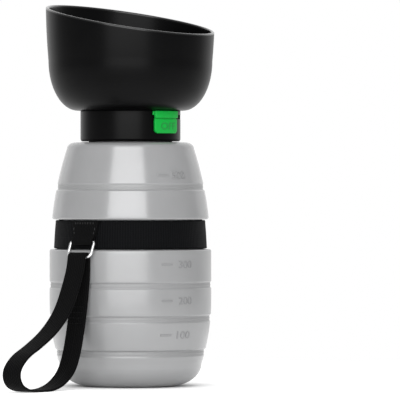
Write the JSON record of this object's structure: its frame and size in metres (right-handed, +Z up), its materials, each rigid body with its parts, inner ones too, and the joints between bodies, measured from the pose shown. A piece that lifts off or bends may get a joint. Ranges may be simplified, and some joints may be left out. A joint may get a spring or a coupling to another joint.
{
  "type": "dog travel water bottle",
  "caption": "Squeeze bottle with a soft slanted drinking bowl that folds down over its shoulder, a turn valve on a screw head, a grip band and a wrist strap.",
  "frame": {"origin": "centre of the base, on the face it stands on", "axes": "+Z up along the bottle's axis; -Y towards the viewer; the ring and strap are front left, the closed switch front right"},
  "size_m": [0.1049, 0.1281, 0.1999],
  "materials": {
    "squeeze_plastic": "satin, silver grey",
    "band_elastic": "woven elastic",
    "webbing": "woven webbing",
    "thread": "sewing thread",
    "ring_wire": "bright plated wire",
    "head_plastic": "satin black",
    "bowl_rubber": "smooth, satin black",
    "switch_plastic": "bright green",
    "pale_rubber": "translucent grey",
    "dark_rubber": "matte",
    "plate_plastic": "natural grey",
    "screw_steel": "bright"
  },
  "bodies": {
    "bottle": {"bottle": "squeeze_plastic", "grip_band": "band_elastic", "ring_tab": "webbing", "tab_stitching": "thread"},
    "seal": {"neck_gasket": "pale_rubber"},
    "head": {"collar": "head_plastic", "port_plate": "plate_plastic", "valve_seal": "pale_rubber", "plate_screws": "screw_steel", "outlet_spout": "head_plastic", "spout_washer": "pale_rubber", "stem_oring": "dark_rubber", "stem_gasket": "dark_rubber", "spout_nut": "head_plastic"},
    "valve": {"valve_rotor": "switch_plastic", "rotor_oring": "dark_rubber", "valve_switch": "switch_plastic"},
    "bowl": {"bowl": "bowl_rubber"},
    "ring": {"d_ring": "ring_wire"},
    "strap": {"wrist_strap": "webbing", "strap_stitching": "thread"}
  },
  "joints": [
    {"name": "cap_rise", "type": "slide", "parent": "bottle", "child": "seal", "axis": [0, 0, 1], "range_m": [0, 0.0061]},
    {"name": "cap_turn", "type": "hinge", "parent": "seal", "child": "head", "pos_m": [0, 0, 0.131], "axis": [0, 0, 1], "range_deg": [0, 540]},
    {"name": "switch_turn", "type": "hinge", "parent": "head", "child": "valve", "pos_m": [0, 0, 0.1402], "axis": [0, 0, 1], "range_deg": [0, 40]},
    {"name": "bowl_fold", "type": "hinge", "parent": "head", "child": "bowl", "pos_m": [0, 0, 0.1446], "axis": [0.7771, -0.6293, 0], "range_deg": [0, 180], "deforming": ["bowl"]},
    {"name": "ring_swing", "type": "hinge", "parent": "bottle", "child": "ring", "pos_m": [-0.02392, -0.03417, 0.0757], "axis": [-0.8192, 0.5736, 0], "range_deg": [-1.5, 80]},
    {"name": "strap_swing", "type": "hinge", "parent": "ring", "child": "strap", "pos_m": [-0.02593, -0.03703, 0.06784], "axis": [-0.8192, 0.5736, 0], "range_deg": [-1.5, 60]}
  ],
  "couplings": [
    {"joint": "cap_rise", "follows": "cap_turn", "m_per_rad": 0.00063662}
  ]
}
